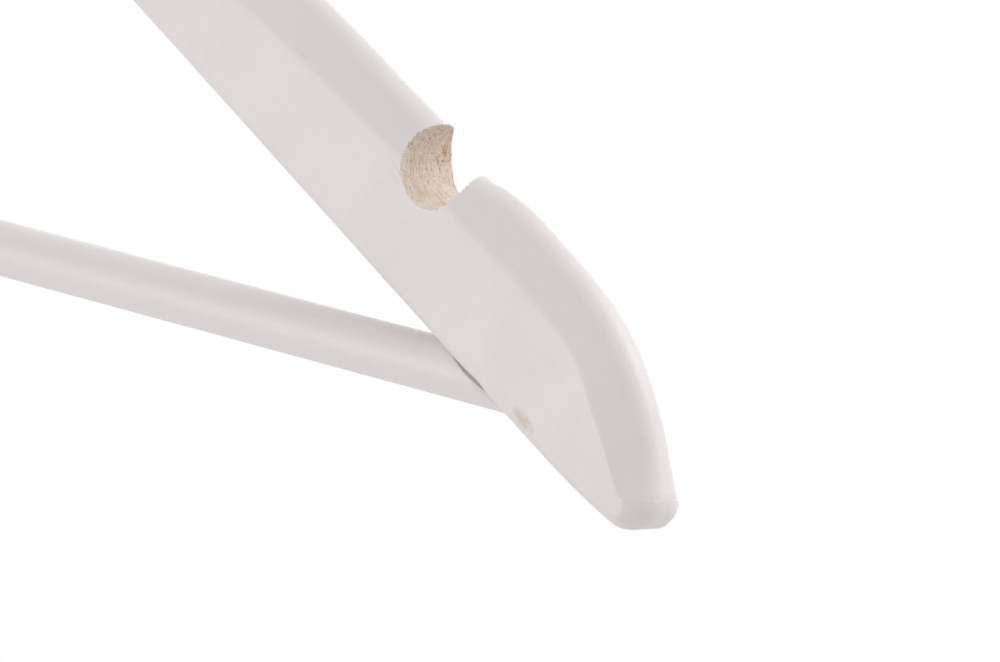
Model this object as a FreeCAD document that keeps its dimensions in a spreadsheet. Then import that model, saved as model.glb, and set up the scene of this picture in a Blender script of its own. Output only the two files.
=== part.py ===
import FreeCAD, Part
import math
import os
import Sketcher

# Clothes hanger: two moulded wooden arms finger-jointed at the centre, a trouser bar pinned between
# them, and a wire hook that turns in a sleeve pressed into the wood.
# Millimetres. +Z up, +X along the span, Y through the thickness.
# The origin is the hook's seat: the inner top of the hook, where it hangs on a rail.

START = 1          # sketch point numbers of an edge
END = 2
CENTRE = 3
V_AXIS = -2        # the sketch geometry number of the upright axis
ORIGIN = (-1, 1)
TINY = 1e-6
CROWN_HIGH_GUESS = 2.0       # starting lengths, which the outline's constraints then settle
UPPER_LINE_GUESS = 170.0
LOWER_LINE_GUESS = 180.0
FULL_TURN = 360
SIDES = (("right", "+"), ("left", "-"))
FRONT_FACE = "-sizes.wood_thick / 2"
UNDER_FILLER = FRONT_FACE + " + sizes.filler_deep"

doc = FreeCAD.newDocument("clothes_hanger")

# ---------------------------------------------------------------- driving dimensions

SIZES = {
    # arms
    "half_span": 222.5,
    "wood_thick": 12.0,
    "inner_slope": 27.45,
    "outer_slope": 26.6,
    "inner_centre_z": -126.51,
    "inner_centre_rad": 90.0,
    "crown_rad": 40.0,
    "neck_z": -94.2,
    "outer_round": 5.6,
    "inner_round": 2.0,
    # lip below the notch, shoulder and tip, as tangent arcs
    "dip_rad": 10.0,
    "dip_down_turn": 22.8,
    "dip_up_turn": 41.35,
    "lip_rad": 40.0,
    "lip_turn": 18.95,
    "shoulder_top_rad": 170.0,
    "shoulder_top_turn": 7.1,
    "shoulder_mid_rad": 46.0,
    "shoulder_mid_turn": 18.95,
    "shoulder_low_rad": 65.0,
    "shoulder_low_turn": 19.3,
    "tip_rad": 5.6,
    "tip_low_turn": 111.0,
    "heel_rad": 184.0,
    # strap notch
    "notch_x": 164.3,
    "notch_z": -174.4,
    "notch_rad": 7.4,
    # finger joint
    "finger_half": 9.0,
    "finger_layer": 2.4,
    # trouser bar and its pins
    "bar_z": -208.0,
    "bar_rad": 5.1,
    "bar_half": 199.0,
    "bar_end_chamfer": 0.6,
    "glue_gap": 0.05,
    "bar_end_gap": 0.3,
    "pin_x": 193.2,
    "pin_z": -211.2,
    "pin_rad": 0.8,
    "pin_length": 9.2,
    "filler_rad": 1.3,
    "filler_deep": 0.9,
    # hook
    "wire_rad": 1.9,
    "wire_end_round": 1.5,
    "bend_rad": 22.9,
    "bend_turn": 240.0,
    "lead_rad": 11.0,
    "lead_turn": 40.0,
    "swan_turn": 50.0,
    "swan_rad": 14.0,
    "bead_rad": 3.4,
    "bead_high": 2.6,
    "peen_rad": 3.0,
    "peen_high": 1.6,
    "end_play": 0.3,
    # sleeve and washer
    "sleeve_bore_rad": 1.96,
    "sleeve_rad": 4.0,
    "sleeve_deep": 22.0,
    "rib_rad": 4.4,
    "rib_high": 1.2,
    "rib_pitch": 3.4,
    "rib_count": 5,
    "flange_rad": 4.8,
    "flange_high": 1.2,
    "socket_rad": 4.4,
    "socket_spare": 3.2,
    "washer_hole_rad": 2.2,
    "washer_rad": 4.2,
    "washer_high": 0.6,
    "face_gap": 0.05,
}

sheet = doc.addObject("Spreadsheet::Sheet", "sizes")
for row, (alias, value) in enumerate(SIZES.items(), start=1):
    sheet.set("A%d" % row, alias)
    sheet.set("B%d" % row, str(value))
    sheet.setAlias("B%d" % row, alias)
doc.recompute()


def size(alias):
    """A driving dimension, read from the sheet."""
    return float(sheet.get(alias))


def bind(obj, **formulas):
    """Bind properties to sheet formulas. An underscore pair stands for a dot in the property path."""
    for path, formula in formulas.items():
        obj.setExpression(path.replace("__", "."), formula)


# ---------------------------------------------------------------- sketch helpers


def new_sketch(body, name, plane):
    """A sketch on one of the body's own origin planes."""
    sketch = body.newObject("Sketcher::SketchObject", name)
    support = [feature for feature in body.Origin.OriginFeatures if feature.Role == plane]
    sketch.AttachmentSupport = [(support[0], "")]
    sketch.MapMode = "FlatFace"
    return sketch


def hold(sketch, kind, *where, formula=None):
    """Add one constraint, bound to a sheet formula where one is given."""
    number = sketch.addConstraint(Sketcher.Constraint(kind, *where))
    if formula:
        sketch.setExpression("Constraints[%d]" % number, formula)
    return number


class Chain:
    """A run of tangent lines and arcs. Headings are in degrees, counter-clockwise from sketch +X."""

    def __init__(self, sketch, x, y, heading):
        self.sketch = sketch
        self.x = x
        self.y = y
        self.heading = heading
        self.last = None

    def _join(self, number, entry, leave):
        if self.last:
            hold(self.sketch, "Tangent", self.last[0], self.last[1], number, entry)
        self.last = (number, leave)
        return number

    def line(self, length):
        start = FreeCAD.Vector(self.x, self.y, 0)
        self.x += length * math.cos(math.radians(self.heading))
        self.y += length * math.sin(math.radians(self.heading))
        end = FreeCAD.Vector(self.x, self.y, 0)
        number = self.sketch.addGeometry(Part.LineSegment(start, end), False)
        return self._join(number, START, END)

    def arc(self, radius_name, turn, turn_name=None):
        """An arc that turns the heading left for a positive turn, right for a negative one."""
        radius = size(radius_name)
        side = 1 if turn > 0 else -1
        normal = math.radians(self.heading + 90 * side)
        cx = self.x + radius * math.cos(normal)
        cy = self.y + radius * math.sin(normal)
        first = normal + math.pi
        last = first + math.radians(turn)
        circle = Part.Circle(FreeCAD.Vector(cx, cy, 0), FreeCAD.Vector(0, 0, 1), radius)
        number = self.sketch.addGeometry(Part.ArcOfCircle(circle, min(first, last), max(first, last)), False)
        self.x = cx + radius * math.cos(last)
        self.y = cy + radius * math.sin(last)
        self.heading += turn
        hold(self.sketch, "Radius", number, radius, formula="sizes.%s" % radius_name)
        if turn_name:
            formula = "sizes.%s * 1 deg" % turn_name
            hold(self.sketch, "Angle", number, math.radians(abs(turn)), formula=formula)
        return self._join(number, START if side > 0 else END, END if side > 0 else START)


def centred_circle(sketch, radius_name):
    """A circle about the sketch's origin."""
    circle = Part.Circle(FreeCAD.Vector(0, 0, 0), FreeCAD.Vector(0, 0, 1), size(radius_name))
    number = sketch.addGeometry(circle, False)
    hold(sketch, "Coincident", number, CENTRE, *ORIGIN)
    hold(sketch, "Radius", number, size(radius_name), formula="sizes.%s" % radius_name)


def cylinder(name, radius, length, x="0", y="0", z="0", along="Z"):
    """A Part cylinder that grows along the named axis from x, y, z. Values are sheet formulas."""
    up = FreeCAD.Vector(0, 0, 1)
    way = {"X": FreeCAD.Vector(1, 0, 0), "Y": FreeCAD.Vector(0, 1, 0), "Z": up}[along]
    obj = doc.addObject("Part::Cylinder", name)
    obj.Placement = FreeCAD.Placement(FreeCAD.Vector(0, 0, 0), FreeCAD.Rotation(up, way))
    bind(obj, Radius=radius, Height=length, Placement__Base__x=x, Placement__Base__y=y, Placement__Base__z=z)
    return obj


def box(name, x, y, z, length, width, height):
    """A Part box from its low corner. Values are sheet formulas."""
    obj = doc.addObject("Part::Box", name)
    bind(obj, Length=length, Width=width, Height=height)
    bind(obj, Placement__Base__x=x, Placement__Base__y=y, Placement__Base__z=z)
    return obj


def join(name, shapes):
    obj = doc.addObject("Part::MultiFuse", name)
    obj.Shapes = shapes
    return obj


def boolean(kind, name, base, tool):
    obj = doc.addObject("Part::" + kind, name)
    obj.Base = base
    obj.Tool = tool
    obj.Label = name
    return obj


# ---------------------------------------------------------------- moulded wood, both arms in one blank


def half_outline(body):
    """The right half of the hanger's outline, from the crown out to the tip and back inside."""
    sketch = new_sketch(body, "half_outline", "XZ_Plane")
    slope_in = size("inner_slope")
    slope_out = size("outer_slope")
    crown_top = size("neck_z") + CROWN_HIGH_GUESS
    chain = Chain(sketch, 0.0, crown_top, 0.0)
    crown = chain.arc("crown_rad", -slope_out)
    upper = chain.line(UPPER_LINE_GUESS)
    chain.arc("dip_rad", -size("dip_down_turn"), "dip_down_turn")
    chain.arc("dip_rad", size("dip_up_turn"), "dip_up_turn")
    for name in ("lip", "shoulder_top", "shoulder_mid", "shoulder_low"):
        chain.arc(name + "_rad", -size(name + "_turn"), name + "_turn")
    tip_high = chain.arc("tip_rad", -(90 + chain.heading))
    chain.arc("tip_rad", -size("tip_low_turn"), "tip_low_turn")
    chain.arc("heel_rad", -(180 + slope_in + chain.heading))
    lower = chain.line(LOWER_LINE_GUESS)
    inner_centre = chain.arc("inner_centre_rad", slope_in)
    axis_start = FreeCAD.Vector(0.0, chain.y, 0.0)
    axis_end = FreeCAD.Vector(0.0, crown_top, 0.0)
    middle = sketch.addGeometry(Part.LineSegment(axis_start, axis_end), False)

    hold(sketch, "Coincident", inner_centre, END, middle, START)
    hold(sketch, "Coincident", middle, END, crown, END)
    hold(sketch, "PointOnObject", middle, START, V_AXIS)
    hold(sketch, "PointOnObject", middle, END, V_AXIS)
    hold(sketch, "PointOnObject", crown, CENTRE, V_AXIS)
    hold(sketch, "PointOnObject", inner_centre, CENTRE, V_AXIS)
    hold(sketch, "Angle", upper, math.radians(-slope_out), formula="-sizes.outer_slope * 1 deg")
    hold(sketch, "Angle", lower, math.radians(180 - slope_in), formula="(180 - sizes.inner_slope) * 1 deg")
    hold(sketch, "Horizontal", tip_high, CENTRE, tip_high, START)
    hold(sketch, "DistanceX", *ORIGIN, tip_high, START, size("half_span"), formula="sizes.half_span")
    hold(sketch, "DistanceY", *ORIGIN, middle, START, size("inner_centre_z"), formula="sizes.inner_centre_z")
    return sketch


def make_blank():
    """The outline at full thickness, mirrored to both sides."""
    body = doc.addObject("PartDesign::Body", "wood_blank")
    outline = half_outline(body)
    pad = body.newObject("PartDesign::Pad", "half_blank")
    pad.Profile = outline
    pad.SideType = "Symmetric"
    bind(pad, Length="sizes.wood_thick")
    doc.recompute()
    mirrored = body.newObject("PartDesign::Mirrored", "whole_blank")
    mirrored.Originals = [pad]
    mirrored.MirrorPlane = (outline, ["V_Axis"])
    mirrored.Refine = True
    body.Tip = mirrored
    doc.recompute()
    return body


def rounding_for(edge):
    """Radii at an outline edge's two ends: full outside, small inside, easing along the heel arc."""
    outer = size("outer_round")
    inner = size("inner_round")
    if edge.Curve.TypeId == "Part::GeomLine":
        runs_inside = min(vertex.Z for vertex in edge.Vertexes) < size("notch_z")
        return (inner, inner) if runs_inside else (outer, outer)
    if abs(edge.Curve.Radius - size("inner_centre_rad")) < TINY:
        return inner, inner
    if abs(edge.Curve.Radius - size("heel_rad")) < TINY:
        on_left = edge.CenterOfMass.x < 0          # the mirrored edges run the other way
        return (inner, outer) if on_left else (outer, inner)
    return outer, outer


def round_edges(blank):
    """Round every edge of the two flat faces."""
    rounded = doc.addObject("Part::Fillet", "wood_rounded")
    rounded.Base = blank
    half = size("wood_thick") / 2
    edges = []
    for number, edge in enumerate(blank.Shape.Edges, start=1):
        levels = [vertex.Y for vertex in edge.Vertexes]
        on_face = all(abs(abs(level) - half) < TINY for level in levels)
        if on_face and abs(levels[0] - levels[-1]) < TINY:
            edges.append((number, *rounding_for(edge)))
    rounded.Edges = edges
    doc.recompute()
    return rounded


def make_wood_cutters():
    """Everything bored or cut out of the moulded wood."""
    cutters = []
    for side, sign in SIDES:
        cutters.append(cylinder(
            side + "_notch_cutter", "sizes.notch_rad", "2 * sizes.wood_thick",
            x=sign + "sizes.notch_x", y="-sizes.wood_thick", z="sizes.notch_z", along="Y"))
        cutters.append(cylinder(
            side + "_pin_bore", "sizes.pin_rad", "sizes.filler_deep + sizes.pin_length",
            x=sign + "sizes.pin_x", y=FRONT_FACE, z="sizes.pin_z", along="Y"))
        cutters.append(cylinder(
            side + "_filler_bore", "sizes.filler_rad", "sizes.filler_deep",
            x=sign + "sizes.pin_x", y=FRONT_FACE, z="sizes.pin_z", along="Y"))
    cutters.append(cylinder(
        "bar_bore", "sizes.bar_rad + sizes.glue_gap", "2 * (sizes.bar_half + sizes.bar_end_gap)",
        x="-(sizes.bar_half + sizes.bar_end_gap)", z="sizes.bar_z", along="X"))
    cutters.append(cylinder(
        "hook_socket", "sizes.socket_rad", "sizes.sleeve_deep + sizes.socket_spare + sizes.wood_thick",
        z="sizes.neck_z - sizes.sleeve_deep - sizes.socket_spare"))
    cutters.append(box(
        "neck_trim", "-sizes.crown_rad", "-sizes.wood_thick", "sizes.neck_z",
        "2 * sizes.crown_rad", "2 * sizes.wood_thick", "sizes.wood_thick"))
    return join("wood_cutters", cutters)


def make_finger_key():
    """Everything that belongs to the right arm: its half, and its fingers in every other layer."""
    deep = "-2 * sizes.bar_z"
    blocks = [box(
        "right_half", "sizes.finger_half", "-sizes.wood_thick", "2 * sizes.bar_z",
        "sizes.half_span", "2 * sizes.wood_thick", deep)]
    layers = round(size("wood_thick") / size("finger_layer"))
    for layer in range(0, layers, 2):
        blocks.append(box(
            "finger_%d" % (layer + 1), "-sizes.finger_half",
            FRONT_FACE + " + %d * sizes.finger_layer" % layer, "2 * sizes.bar_z",
            "3 * sizes.finger_half", "sizes.finger_layer", deep))
    return join("right_arm_key", blocks)


def make_arms():
    rounded = round_edges(make_blank())
    machined = boolean("Cut", "wood_machined", rounded, make_wood_cutters())
    key = make_finger_key()
    right = boolean("Common", "right_arm", machined, key)
    left = boolean("Cut", "left_arm", machined, key)
    return [right, left]


# ---------------------------------------------------------------- trouser bar, pins and fillers


def make_trouser_bar():
    body = doc.addObject("PartDesign::Body", "bar_blank")
    section = new_sketch(body, "bar_section", "YZ_Plane")
    centred_circle(section, "bar_rad")
    pad = body.newObject("PartDesign::Pad", "bar_length")
    pad.Profile = section
    pad.SideType = "Symmetric"
    bind(pad, Length="2 * sizes.bar_half")
    doc.recompute()
    ends = ["Edge%d" % number for number, edge in enumerate(pad.Shape.Edges, start=1)
            if edge.Curve.TypeId == "Part::GeomCircle"]
    chamfer = body.newObject("PartDesign::Chamfer", "bar_ends")
    chamfer.Base = (pad, ends)
    bind(chamfer, Size="sizes.bar_end_chamfer")
    bind(body, Placement__Base__z="sizes.bar_z")
    bores = [cylinder(
        side + "_bar_pin_bore", "sizes.pin_rad", "sizes.pin_length",
        x=sign + "sizes.pin_x", y=UNDER_FILLER, z="sizes.pin_z", along="Y") for side, sign in SIDES]
    return boolean("Cut", "trouser_bar", body, join("bar_pin_bores", bores))


def make_pins_and_fillers():
    """A brad through each end of the bar, sunk below the front face, and the putty that covers it."""
    pieces = []
    for side, sign in SIDES:
        where = {"x": sign + "sizes.pin_x", "z": "sizes.pin_z", "along": "Y"}
        pin = cylinder(side + "_bar_pin", "sizes.pin_rad", "sizes.pin_length", y=UNDER_FILLER, **where)
        pieces.append(pin)
        pieces.append(cylinder(
            side + "_pin_filler", "sizes.filler_rad", "sizes.filler_deep", y=FRONT_FACE, **where))
    return pieces


# ---------------------------------------------------------------- hook, washer and sleeve

WASHER_FOOT = "sizes.neck_z + sizes.flange_high + sizes.face_gap"
BEAD_FOOT = WASHER_FOOT + " + sizes.washer_high + sizes.face_gap"
PEEN_TOP = "sizes.neck_z - sizes.sleeve_deep - sizes.end_play"


def turned(body, name, outline):
    """Turn a closed outline of (radius, height) sheet formulas about the body's own Z axis."""
    sketch = new_sketch(body, name + "_profile", "XZ_Plane")
    values = [(sheet.evalExpression(radius), sheet.evalExpression(height)) for radius, height in outline]
    corners = [FreeCAD.Vector(radius, height, 0) for radius, height in values]
    edges = [sketch.addGeometry(Part.LineSegment(corner, corners[(index + 1) % len(corners)]), False)
             for index, corner in enumerate(corners)]
    for index, edge in enumerate(edges):
        hold(sketch, "Coincident", edges[index - 1], END, edge, START)
        if values[index][0] == 0:
            hold(sketch, "PointOnObject", edge, START, V_AXIS)
        else:
            hold(sketch, "DistanceX", *ORIGIN, edge, START, values[index][0], formula=outline[index][0])
        hold(sketch, "DistanceY", *ORIGIN, edge, START, values[index][1], formula=outline[index][1])
    turn = body.newObject("PartDesign::Revolution", name)
    turn.Profile = sketch
    turn.ReferenceAxis = (sketch, ["V_Axis"])
    turn.Angle = FULL_TURN
    doc.recompute()
    return turn


def make_hook():
    """Round wire: shank, swan-neck, open bend and turned-out lead, with an upset bead and a peened foot."""
    body = doc.addObject("PartDesign::Body", "hook")
    path = new_sketch(body, "wire_path", "XZ_Plane")
    foot = sheet.evalExpression(PEEN_TOP + " - sizes.peen_high / 2")
    chain = Chain(path, 0.0, foot, 90.0)
    shank = chain.line(size("bend_rad") * 2)
    chain.arc("swan_rad", -size("swan_turn"), "swan_turn")
    chain.line(size("swan_rad"))
    bend = chain.arc("bend_rad", size("bend_turn"), "bend_turn")
    chain.arc("lead_rad", -size("lead_turn"), "lead_turn")
    hold(path, "PointOnObject", shank, START, V_AXIS)
    hold(path, "Vertical", shank)
    hold(path, "DistanceY", *ORIGIN, shank, START, foot, formula=PEEN_TOP + " - sizes.peen_high / 2")
    hold(path, "PointOnObject", bend, CENTRE, V_AXIS)
    hold(path, "DistanceY", *ORIGIN, bend, CENTRE, size("wire_rad") - size("bend_rad"),
         formula="sizes.wire_rad - sizes.bend_rad")
    section = new_sketch(body, "wire_section", "XY_Plane")
    centred_circle(section, "wire_rad")
    bind(section, AttachmentOffset__Base__z=PEEN_TOP + " - sizes.peen_high / 2")
    doc.recompute()
    wire = body.newObject("PartDesign::AdditivePipe", "wire")
    wire.Profile = section
    wire.Spine = (path, [])
    doc.recompute()
    turned(body, "bead", [
        ("0", BEAD_FOOT),
        ("sizes.bead_rad", BEAD_FOOT),
        ("sizes.bead_rad", BEAD_FOOT + " + sizes.bead_high / 2"),
        ("sizes.wire_rad", BEAD_FOOT + " + sizes.bead_high"),
        ("0", BEAD_FOOT + " + sizes.bead_high")])
    peen = turned(body, "peen", [
        ("0", PEEN_TOP),
        ("sizes.peen_rad", PEEN_TOP),
        ("sizes.peen_rad", PEEN_TOP + " - sizes.peen_high / 2"),
        ("sizes.wire_rad", PEEN_TOP + " - sizes.peen_high"),
        ("0", PEEN_TOP + " - sizes.peen_high")])
    free_end = min(
        (edge.CenterOfMass.x, "Edge%d" % number) for number, edge in enumerate(peen.Shape.Edges, start=1)
        if edge.Curve.TypeId == "Part::GeomCircle" and abs(edge.Curve.Radius - size("wire_rad")) < TINY)
    tip = body.newObject("PartDesign::Fillet", "wire_end")
    tip.Base = (peen, [free_end[1]])
    bind(tip, Radius="sizes.wire_end_round")
    return body


def make_washer():
    body = doc.addObject("PartDesign::Body", "hook_washer")
    ring = new_sketch(body, "washer_ring", "XY_Plane")
    centred_circle(ring, "washer_rad")
    centred_circle(ring, "washer_hole_rad")
    pad = body.newObject("PartDesign::Pad", "washer_plate")
    pad.Profile = ring
    bind(pad, Length="sizes.washer_high")
    bind(body, Placement__Base__z=WASHER_FOOT)
    return body


def make_sleeve():
    """A flanged sleeve with saw-tooth ribs that grip the socket."""
    body = doc.addObject("PartDesign::Body", "hook_sleeve")
    top = "sizes.neck_z + sizes.flange_high"
    bottom = "sizes.neck_z - sizes.sleeve_deep"
    outline = [
        ("sizes.sleeve_bore_rad", top),
        ("sizes.flange_rad", top),
        ("sizes.flange_rad", "sizes.neck_z"),
        ("sizes.sleeve_rad", "sizes.neck_z")]
    for rib in range(1, round(size("rib_count")) + 1):
        level = "sizes.neck_z - %d * sizes.rib_pitch" % rib
        outline.append(("sizes.sleeve_rad", level + " + sizes.rib_high"))
        outline.append(("sizes.rib_rad", level + " + sizes.rib_high"))
        outline.append(("sizes.sleeve_rad", level))
    outline.append(("sizes.sleeve_rad", bottom))
    outline.append(("sizes.sleeve_bore_rad", bottom))
    turned(body, "sleeve", outline)
    return body


# ---------------------------------------------------------------- build, check and write

nodes = make_arms() + [make_trouser_bar()] + make_pins_and_fillers()
nodes += [make_hook(), make_washer(), make_sleeve()]
doc.recompute()

for obj in doc.Objects:
    if "Invalid" in obj.State or "Error" in obj.State:
        raise RuntimeError("%s did not recompute: %s" % (obj.Label, obj.State))
for node in nodes:
    if node.Shape.isNull() or not node.Shape.isValid() or len(node.Shape.Solids) != 1:
        raise RuntimeError("%s is not one sound solid" % node.Label)

os.makedirs("parts", exist_ok=True)
for node in nodes:
    node.Shape.exportStep("parts/%s.step" % node.Label)
    extent = node.Shape.BoundBox
    print("%-18s volume %9.1f mm3   x %7.1f..%6.1f   y %5.1f..%4.1f   z %7.1f..%6.1f" % (
        node.Label, node.Shape.Volume, extent.XMin, extent.XMax, extent.YMin, extent.YMax,
        extent.ZMin, extent.ZMax))
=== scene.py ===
import math

import bmesh
import bpy
import numpy as np
from mathutils import Matrix, Vector
from mathutils.bvhtree import BVHTree


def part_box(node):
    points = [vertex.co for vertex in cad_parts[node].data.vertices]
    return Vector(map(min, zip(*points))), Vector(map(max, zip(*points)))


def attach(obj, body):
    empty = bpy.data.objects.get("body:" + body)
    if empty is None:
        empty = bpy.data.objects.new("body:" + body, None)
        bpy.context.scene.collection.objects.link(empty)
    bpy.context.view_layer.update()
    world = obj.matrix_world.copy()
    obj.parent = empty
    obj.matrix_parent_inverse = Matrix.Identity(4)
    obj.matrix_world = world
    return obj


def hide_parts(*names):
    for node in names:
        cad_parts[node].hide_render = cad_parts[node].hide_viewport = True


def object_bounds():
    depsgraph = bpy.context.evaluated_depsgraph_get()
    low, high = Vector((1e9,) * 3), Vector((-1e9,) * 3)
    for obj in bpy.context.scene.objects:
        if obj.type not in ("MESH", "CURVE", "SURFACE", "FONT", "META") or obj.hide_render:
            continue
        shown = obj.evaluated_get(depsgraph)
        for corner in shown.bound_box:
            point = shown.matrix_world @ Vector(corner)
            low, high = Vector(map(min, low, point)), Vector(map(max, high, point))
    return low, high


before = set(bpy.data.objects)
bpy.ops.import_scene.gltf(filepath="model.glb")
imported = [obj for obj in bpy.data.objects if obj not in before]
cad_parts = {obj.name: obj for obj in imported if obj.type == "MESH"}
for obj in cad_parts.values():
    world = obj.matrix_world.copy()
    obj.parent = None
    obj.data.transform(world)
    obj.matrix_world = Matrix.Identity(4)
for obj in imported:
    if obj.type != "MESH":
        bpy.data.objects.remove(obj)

# White-lacquered wooden clothes hanger: two moulded arms, a dowel bar, brads under putty, and a plated
# wire hook that turns in a sleeve. Metres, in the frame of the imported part.

CAD_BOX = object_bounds()
MM = 0.001
ARM_LOW, ARM_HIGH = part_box("right_arm")
BAR_LOW, BAR_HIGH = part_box("trouser_bar")
HOOK_LOW, HOOK_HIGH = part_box("hook")
WASHER_LOW, WASHER_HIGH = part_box("hook_washer")
SLEEVE_LOW, SLEEVE_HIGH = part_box("hook_sleeve")
PUTTY_LOW, PUTTY_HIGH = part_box("right_pin_filler")

HALF_SPAN = ARM_HIGH.x
HALF_THICK = ARM_HIGH.y
NECK_Z = SLEEVE_HIGH.z - 1.2 * MM          # the flat that the sleeve's flange sits on
BAR_Z = (BAR_LOW.z + BAR_HIGH.z) / 2
BAR_RAD = (BAR_HIGH.z - BAR_LOW.z) / 2
PUTTY_X = (PUTTY_LOW.x + PUTTY_HIGH.x) / 2
PUTTY_Z = (PUTTY_LOW.z + PUTTY_HIGH.z) / 2
PUTTY_RAD = (PUTTY_HIGH.x - PUTTY_LOW.x) / 2
NOTCH_X = HALF_SPAN - 58.2 * MM
NOTCH_Z = ARM_LOW.z + 51.37 * MM
NOTCH_RAD = 7.4 * MM
GRAIN_SLOPE = 27.45                        # the arms' straight inside edge, degrees below level
INNER_EDGE_Z = -115.1                      # where that edge's line would cross the middle, in mm


# ---------------------------------------------------------------- camera and light

CAMERA_AIM = Vector((HALF_SPAN - 45.4 * MM, 2.0 * MM, ARM_LOW.z + 25.5 * MM))
CAMERA_ACROSS = Vector((0.6798, 0.7255, 0.1070))
CAMERA_BACK = Vector((0.7123, -0.6879, 0.1392))
CAMERA_AWAY = 0.95
SENSOR_WIDTH = 36.0
LENS_LENGTH = 205.2

PANEL_TARGET = Vector((0.12, 0.0, -0.18))
PANELS = (                                 # name, place, size and power
    ("front_left_panel", (-0.80, -1.53, -0.32), 1.2, 10.8),
    ("top_back_panel", (0.76, 0.64, 1.13), 1.0, 11.5),
    ("right_back_panel", (1.55, 0.55, 0.02), 0.9, 4.2),
    ("back_sheet_panel", (-0.56, 1.19, 0.09), 0.9, 11))
TENT_FILL = 0.57                           # the tent's light on matt surfaces
WHITE = (1.0, 1.0, 1.0, 1.0)


def set_camera():
    back = CAMERA_BACK.normalized()
    up = back.cross(CAMERA_ACROSS.normalized()).normalized()
    across = up.cross(back).normalized()
    lens = bpy.data.cameras.new("shoulder_camera")
    lens.sensor_width = SENSOR_WIDTH
    lens.lens = LENS_LENGTH
    lens.clip_start = 10 * MM
    camera = place_object("shoulder_camera", lens)
    turned = Matrix((across, up, back)).transposed().to_4x4()
    camera.matrix_world = Matrix.Translation(CAMERA_AIM + back * CAMERA_AWAY) @ turned
    bpy.context.scene.camera = camera


def soft_panel(name, place, size, power):
    """A square light panel facing the middle of the shoulder."""
    panel = bpy.data.lights.new(name, "AREA")
    panel.shape = "SQUARE"
    panel.size = size
    panel.energy = power
    lamp = place_object(name, panel)
    lamp.location = place
    lamp.rotation_euler = (PANEL_TARGET - Vector(place)).to_track_quat("-Z", "Y").to_euler()


def set_light():
    """A white tent, full white where it is seen or mirrored, and four soft panels."""
    scene = bpy.context.scene
    scene.view_settings.view_transform = "Standard"
    world = bpy.data.worlds.new("white_tent")
    scene.world = world
    world.use_nodes = True
    tree = world.node_tree
    tree.nodes.clear()
    ray = add(tree, "LightPath").outputs
    direct = math_of(tree, "MAXIMUM", ray["Is Camera Ray"], ray["Is Glossy Ray"])
    fill = add(tree, "Background", {"Color": WHITE, "Strength": TENT_FILL}).outputs[0]
    seen = add(tree, "Background", {"Color": WHITE, "Strength": 1.0}).outputs[0]
    add(tree, "OutputWorld", {0: add(tree, "MixShader", {0: direct, 1: fill, 2: seen}).outputs[0]})
    for panel in PANELS:
        soft_panel(*panel)


# ---------------------------------------------------------------- small helpers

def place_object(name, data):
    obj = bpy.data.objects.new(name, data)
    bpy.context.scene.collection.objects.link(obj)
    return obj


def soften(mesh, sharp_over=38):
    """Smooth shading, kept crisp where two faces meet at more than this many degrees."""
    mesh.polygons.foreach_set("use_smooth", [True] * len(mesh.polygons))
    mesh.set_sharp_from_angle(angle=math.radians(sharp_over))


def mesh_from(name, points, faces):
    mesh = bpy.data.meshes.new(name)
    mesh.from_pydata([tuple(p) for p in points], [], faces)
    form = bmesh.new()
    form.from_mesh(mesh)
    bmesh.ops.recalc_face_normals(form, faces=form.faces)
    form.to_mesh(mesh)
    form.free()
    return mesh


def band_faces(rows, columns, row_wraps=False, column_wraps=False):
    """Quads between the points of a grid laid out row by row."""
    faces = []
    for i in range(rows if row_wraps else rows - 1):
        row = i * columns
        below = (i + 1) % rows * columns
        for j in range(columns if column_wraps else columns - 1):
            beside = (j + 1) % columns
            faces.append((row + j, row + beside, below + beside, below + j))
    return faces


def cut_away(piece, cutter):
    """Takes the cutter's volume out of the piece, and keeps the cutter's material on the cut."""
    bite = piece.modifiers.new("bite", "BOOLEAN")
    bite.operation = "DIFFERENCE"
    bite.solver = "EXACT"
    bite.object = cutter
    bpy.context.view_layer.update()
    shaped = bpy.data.meshes.new_from_object(piece.evaluated_get(bpy.context.evaluated_depsgraph_get()))
    piece.modifiers.clear()
    old = piece.data
    piece.data = shaped
    bpy.data.meshes.remove(old)
    bpy.data.objects.remove(cutter)


def tube_faces(rings, around):
    """The wall between rings of points, closed by a flat face at each end."""
    last = (rings - 1) * around
    ends = [tuple(range(around)), tuple(range(last, last + around))]
    return band_faces(rings, around, column_wraps=True) + ends


def turned_mesh(name, profile, around=96):
    """A closed profile of (radius, height) turned about an upright axis."""
    points = []
    for step in range(around):
        turn = math.tau * step / around
        points += [(radius * math.cos(turn), radius * math.sin(turn), height) for radius, height in profile]
    faces = band_faces(around, len(profile), row_wraps=True, column_wraps=True)
    return mesh_from(name, points, faces)


def solid_turning(name, profile, around=96, axis="Z", centre=(0.0, 0.0, 0.0)):
    """An open profile of (radius, height), turned about an upright axis or one along Y, with flat ends."""
    points = []
    for radius, height in profile:
        for step in range(around):
            turn = math.tau * step / around
            across, along = radius * math.cos(turn), radius * math.sin(turn)
            spot = (across, along, height) if axis == "Z" else (across, height, along)
            points.append(Vector(spot) + Vector(centre))
    return mesh_from(name, points, tube_faces(len(profile), around))


def slow_waves(rng, places, period, shortest, count=7):
    """A gentle uneven run from -1 to 1 along a closed length."""
    highest = max(2, int(period / shortest))
    total = np.zeros_like(places)
    for _ in range(count):
        turns = rng.integers(1, highest + 1)
        total += rng.uniform(0.4, 1.0) * np.sin(math.tau * turns * places / period + rng.uniform(0, math.tau))
    return total / np.abs(total).max()


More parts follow.
